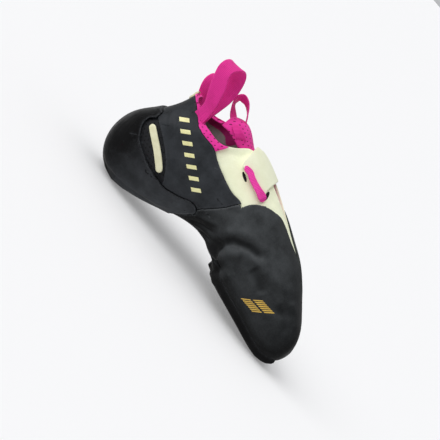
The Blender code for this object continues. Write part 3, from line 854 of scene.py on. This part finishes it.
# Softer pieces: their own smooth copies
softShapes = {
    "tongue": {"levels": 3, "crease": .35, "angle": 45, "material": pinkMesh},
    "strap": {"levels": 3, "crease": .85, "angle": 45, "material": strapLeather},
    "collar": {"levels": 2, "crease": .25, "angle": 45, "material": pinkMesh},
    "insole": {"levels": 1, "crease": .9, "angle": 45, "material": boardFibre},
}
softPieces = {}
for node, shape in softShapes.items():
    data = joined(cadCopy(node))
    creaseSharp(data, shape["angle"], shape["crease"])
    softPieces[node] = subdivided(addPiece(node + "_soft", data), shape["levels"])
    softPieces[node].data.materials.append(shape["material"])
    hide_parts(node)
for node in ("strap", "collar"):
    swelled(folded(softPieces[node]), node)
strapRoot = {"up": 6.0, "fade": 15, "forward": 2.5, "highest": 4.5, "crown": .93}


def drawUp(piece):
    # the strap's inner end is slid up along the skin, so that it ends under the webbing
    mesh = piece.data
    places = coordinates(mesh)
    inner = places[places[:, 1] < 0]
    low = inner[:, 2].min()
    for place in places:
        if place[1] > innerSide:
            continue
        share = 1 - smoothStep(0, strapRoot["fade"] * mm, place[2] - low)
        if share <= 0:
            continue
        foot, normal, gap = smoothSkin.near(Vector(place))
        height = (Vector(place) - foot).dot(normal)
        if gap > strapRoot["highest"] * mm or normal.z > strapRoot["crown"]:
            continue
        along = Vector((1, 0, 0)).cross(normal).normalized()
        along = along if along.z > 0 else -along
        moved = foot + (along * strapRoot["up"] + Vector((strapRoot["forward"], 0, 0))) * share * mm
        foot, normal, gap = smoothSkin.near(moved)
        place[:] = foot + normal * height
    setCoordinates(mesh, places)


drawUp(softPieces["strap"])
for node in ("collar", "tongue"):
    mapFlat(softPieces[node], aroundLength)
report("soft pieces")


def covered(piece):
    mesh = piece.data
    return BVHTree.FromPolygons([vertex.co for vertex in mesh.vertices],
                                [tuple(polygon.vertices) for polygon in mesh.polygons])


# the line of sight, and how many of the tongue loop's points lie how high on the tongue
loopFoot = {"way": (0, 1, -.2127), "count": 3, "height": 1.1}


def broughtNear(points, tree):
    # a tape's first points are brought onto a piece's inner side, along the line of sight
    way = Vector(loopFoot["way"]).normalized()
    run = [Vector(point) for point in points]
    for index in range(loopFoot["count"]):
        hit = tree.ray_cast((run[index] - way * 50) * mm, way)[0]
        if hit is not None:
            run[index] = hit / mm - way * loopFoot["height"]
    return run


tongueTree = covered(softPieces["tongue"])
for edge in ("rear", "front"):
    tapes["tongue_loop"][edge] = broughtNear(tapes["tongue_loop"][edge], tongueTree)
for node, plan in tapes.items():
    tapes[node] = tape(node + "_tape", plan["rear"], plan["front"], plan["thickness"], loopWebbing, node,
                       cup=plan["cup"])
report("tapes")


# how a place on the wall is tried for rubber over it and for the cuff beside it, in metres
probe = {"turns": 8, "reach": .0016, "depth": .0005, "height": .008, "cuff": .0026}


def colourUpper():
    # pale leather where no rubber covers the wall, black under it, perforated in the heel windows
    covers = [covered(layers[node]) for node in ("toe_rand", "heel_band", "heel_cup")]
    cuff = covered(softPieces["collar"])
    mesh = upper.data
    for polygon in mesh.polygons:
        centre = polygon.center
        if polygon.material_index == liningSlot:
            continue
        out = (centre - nearMiddle(centre)).normalized()
        nearCuff = cuff.find_nearest(centre)[3] < probe["cuff"]
        if nearCuff and (out.dot(polygon.normal) < .55 or centre.x < .028):
            polygon.material_index = cuffSlot
            continue
        normal = polygon.normal
        side = normal.orthogonal().normalized()
        bare = 0
        for step in range(probe["turns"]):
            away = Quaternion(normal, step * 2 * math.pi / probe["turns"]) @ side
            start = centre + away * probe["reach"] - normal * probe["depth"]
            if all(tree.ray_cast(start, normal, probe["height"])[0] is None for tree in covers):
                bare += 1
        # under the rubber's edge beside the pale leather the wall stays pale
        beside = centre.z > (.07 if centre.x < .088 else .05) and centre.x > .035
        if bare < (1 if beside else 3):
            polygon.material_index = hiddenSlot
        elif centre.x < .03 and centre.z < .066:
            polygon.material_index = windowSlot
    gaps = [cuff.find_nearest(vertex.co)[3] / mm for vertex in mesh.vertices]
    mesh.attributes.new("cuffGap", "FLOAT", "POINT").data.foreach_set("value", gaps)


swelled(folded(upper), "upper")
colourUpper()
mapFlat(upper, lambda place: fromSide(place) if place.x < .025 and place.z < .07 else aroundLength(place))
for material in upperMaterials:
    upper.data.materials.append(material)
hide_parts("upper")
report("upper")


# Prints, slots and patches laid on what is under them, from well out at the side
wellOut = .09


def printed(name, outline, side, under, material, lift=.16, drop=0.0, grain=1.1):
    # outline is in millimetres from the heel's back and from the floor, seen from the side
    data = bmesh.new()
    corners = [data.verts.new((x * mm - heelBack, 0, z * mm)) for x, z in outline]
    data.faces.new(corners)
    for turn in range(6):
        long = [edge for edge in data.edges if edge.calc_length() > grain * mm]
        if not long:
            break
        bmesh.ops.subdivide_edges(data, edges=long, cuts=1)
        bmesh.ops.triangulate(data, faces=[face for face in data.faces if len(face.verts) > 3])
    rims = {vertex for edge in data.edges if len(edge.link_faces) == 1 for vertex in edge.verts}
    lost = []
    for vertex in data.verts:
        start = Vector((vertex.co.x, side * wellOut, vertex.co.z))
        hit, normal, index, gap = under.ray_cast(start, Vector((0, -side, 0)))
        if hit is None:
            lost.append(vertex)
            continue
        raised = drop if vertex in rims else lift
        vertex.co = hit + Vector((0, side, 0)) * raised * mm
    bmesh.ops.delete(data, geom=lost, context="VERTS")
    bmesh.ops.recalc_face_normals(data, faces=data.faces)
    if sum(face.normal.y * side for face in data.faces) < 0:
        bmesh.ops.reverse_faces(data, faces=data.faces)
    return addPiece(name, data, material)


def turned(points, centreX, centreZ, degrees):
    cosine, sine = math.cos(math.radians(degrees)), math.sin(math.radians(degrees))
    return [(centreX + x * cosine - z * sine, centreZ + x * sine + z * cosine) for x, z in points]


bandTree = covered(layers["heel_band"])
randTree = covered(layers["toe_rand"])
prints = []
# plain leaning bars along the band
bandMarks = {"first": (36.5, 79.5), "last": (84, 51.5), "count": 7, "halfWide": 1.65, "halfTall": 3.7,
             "lean": 1.3, "turn": -30}
wide, tall, lean = bandMarks["halfWide"], bandMarks["halfTall"], bandMarks["lean"]
markCorners = [(-wide - lean, -tall), (wide - lean, -tall), (wide + lean, tall), (-wide + lean, tall)]
for side in (medial, lateral):
    for index in range(bandMarks["count"]):
        share = index / (bandMarks["count"] - 1)
        x = bandMarks["first"][0] * (1 - share) + bandMarks["last"][0] * share
        z = bandMarks["first"][1] * (1 - share) + bandMarks["last"][1] * share
        bar = turned(markCorners, x, z, bandMarks["turn"])
        prints.append(printed("band_mark", bar, side, bandTree, palePrint, .14, .03, .9))
# a leaning patch of fine gold strokes on the inner forefoot
patch = {"corner": (169, 25.5), "along": (14.5, 0.3), "up": (13.5, 13.5), "strokes": 7}
for row in range(2):
    for index in range(patch["strokes"]):
        low = .06 + row * .5
        high = low + .4
        left = (index + .08) / patch["strokes"]
        right = left + .58 / patch["strokes"]
        outline = [(patch["corner"][0] + patch["along"][0] * a + patch["up"][0] * b,
                    patch["corner"][1] + patch["along"][1] * a + patch["up"][1] * b)
                   for a, b in ((left, low), (right, low), (right, high), (left, high))]
        prints.append(printed("gold_stroke", outline, medial, randTree, goldPrint, .1, 0.02, .9))
for piece in prints:
    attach(piece, "root")
report("prints")


def oval(long, wide, steps=14):
    angles = [2 * math.pi * step / steps for step in range(steps)]
    return [(long / 2 * math.cos(angle), wide / 2 * math.sin(angle)) for angle in angles]


# the two black slots that the strap's webbing passes through
slotShade = plain("slot_shade", "060606", "040404", .9)
leatherTree = covered(upper)
webbingSlots = [turned(oval(8.5, 2.4), 100.5, 86.6, -20), turned(oval(6.5, 2.6), 123.0, 90.2, -60)]
for outline in webbingSlots:
    piece = printed("webbing_slot", outline, medial, leatherTree, slotShade, .22, .14, .8)
    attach(piece, "root")

# the webbing bar over the strap's root: its middle line seen from the side, and its half width
webbingBar = [(95.2, 92.3, .5), (95.7, 92.1, 1.6), (97, 91.6, 2.4), (101, 90.2, 2.7), (105, 88.8, 2.6),
              (110, 87.7, 2.6), (114.5, 87.0, 2.7), (117.5, 86.6, 3.0), (120, 86.2, 3.5), (122.3, 85.8, 3.2),
              (123.8, 85.4, 2.2), (124.4, 85.2, .6)]
barLay = {"out": (0, -.82, .57), "lift": 1.0, "endLift": .7, "thickness": 1.8, "cup": .9, "steps": 5}
strapTree = covered(softPieces["strap"])


def outerPlace(x, z):
    # the outermost place of leather or strap at a place seen from the inner side
    start = Vector((x * mm - heelBack, -wellOut, z * mm))
    hits = [tree.ray_cast(start, Vector((0, 1, 0)))[0] for tree in (leatherTree, strapTree)]
    return min((hit for hit in hits if hit is not None), key=lambda hit: hit.y)


def barEdges():
    # the bar runs over the leather and the strap's root, clear of both over its whole width
    out = Vector(barLay["out"])
    places = [outerPlace(x, z) for x, z, half in webbingBar]
    last = len(places) - 1
    turns = [out.cross(places[min(index + 1, last)] - places[max(index - 1, 0)]).normalized()
             for index in range(last + 1)]
    heights = []
    for place, across, (x, z, half) in zip(places, turns, webbingBar):
        tops = [place.dot(out)]
        for share in (-.9, -.45, 0, .45, .9):
            start = place + across * half * share * mm + out * .03
            hits = [tree.ray_cast(start, -out)[0] for tree in (leatherTree, strapTree)]
            tops += [hit.dot(out) for hit in hits if hit is not None]
        heights.append(max(tops))
    heights[0] = heights[1]
    heights[-1] = heights[-2]
    rear, front = [], []
    for index, (place, across) in enumerate(zip(places, turns)):
        near = heights[max(index - 1, 0):index + 2]
        level = (max(near) + sum(near) / len(near)) / 2
        lift = barLay["lift" if 0 < index < last else "endLift"]
        middle = place + out * (level - place.dot(out) + lift * mm)
        half = webbingBar[index][2] * mm
        rear.append((middle + across * half) / mm)
        front.append((middle - across * half) / mm)
    return rear, front


rear, front = barEdges()
tapes["strap_webbing"] = tape("strap_webbing_tape", rear, front, barLay["thickness"], pinkWebbing,
                              "strap_webbing", barLay["steps"], barLay["cup"])

# the pale tab at the back of the collar
tab = {"low": 89.5, "high": 98.5, "half": 6.5, "thick": 1.1, "rows": 8, "columns": 12}
# the tab's colours are the pale leather greyed with painted shade
shadedTab = plain("tab_painted_shade", "cfc9a4", "a8a489", .85, .8, .12)


def heelTab():
    trees = [leatherTree, bandTree, covered(softPieces["collar"])]
    data = bmesh.new()
    rows = []
    for row in range(tab["rows"] + 1):
        line = []
        for column in range(tab["columns"] + 1):
            u = 2 * column / tab["columns"] - 1
            v = row / tab["rows"]
            fade = math.sqrt(max(1 - abs(2 * v - 1) ** 4, 0))
            z = tab["low"] + (tab["high"] - tab["low"]) * v
            start = Vector((-.06, u * tab["half"] * mm * (.55 + .45 * fade), z * mm))
            hits = [tree.ray_cast(start, Vector((1, 0, 0))) for tree in trees]
            xs = [hit[0].x for hit in hits if hit[0] is not None]
            x = min(xs) if xs else None
            line.append((x, start.y, start.z, min(1, (1 - abs(u)) * 5) * min(1, (1 - abs(2 * v - 1)) * 4)))
        rows.append(line)
    known = [x for line in rows for x, y, z, puff in line if x is not None and x < .02]
    verts = []
    for index, line in enumerate(rows):
        ring = []
        for column, (x, y, z, puff) in enumerate(line):
            if x is None or x > min(known) + .02:
                x = rows[index - 1][column][0] if index else max(known)
                line[column] = (x, y, z, puff)
            ring.append(data.verts.new((x - (.15 + tab["thick"] * math.sqrt(puff)) * mm, y, z)))
        verts.append(ring)
    for low, high in zip(verts, verts[1:]):
        for column in range(tab["columns"]):
            data.faces.new((low[column + 1], low[column], high[column], high[column + 1]))
    back = bmesh.ops.extrude_face_region(data, geom=data.faces[:])
    for vertex in back["geom"]:
        if isinstance(vertex, bmesh.types.BMVert):
            vertex.co.x += tab["thick"] * .9 * mm
    bmesh.ops.recalc_face_normals(data, faces=data.faces)
    return subdivided(addPiece("heel_tab", data, shadedTab), 1)


backTab = heelTab()
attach(backTab, "root")
report("webbing bar and tab")


# Which body each piece belongs to
allPieces = {**layers, **softPieces, **tapes}
for node, piece in allPieces.items():
    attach(piece, "root")
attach(upper, "root")

# A plain pale floor
floorData = bmesh.new()
bmesh.ops.create_grid(floorData, x_segments=1, y_segments=1, size=60.0)
floorCover, floorShader = newMaterial("light_table")[::2]
floorShader.inputs["Base Color"].default_value = linear("d8d8d9")
floorShader.inputs["Roughness"].default_value = .9
floorShader.inputs["Emission Color"].default_value = linear("ffffff")
floorShader.inputs["Emission Strength"].default_value = .25
floor = addPiece("floor", floorData, floorCover)

makeLights()
makeCamera()
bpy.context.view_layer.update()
report("done")
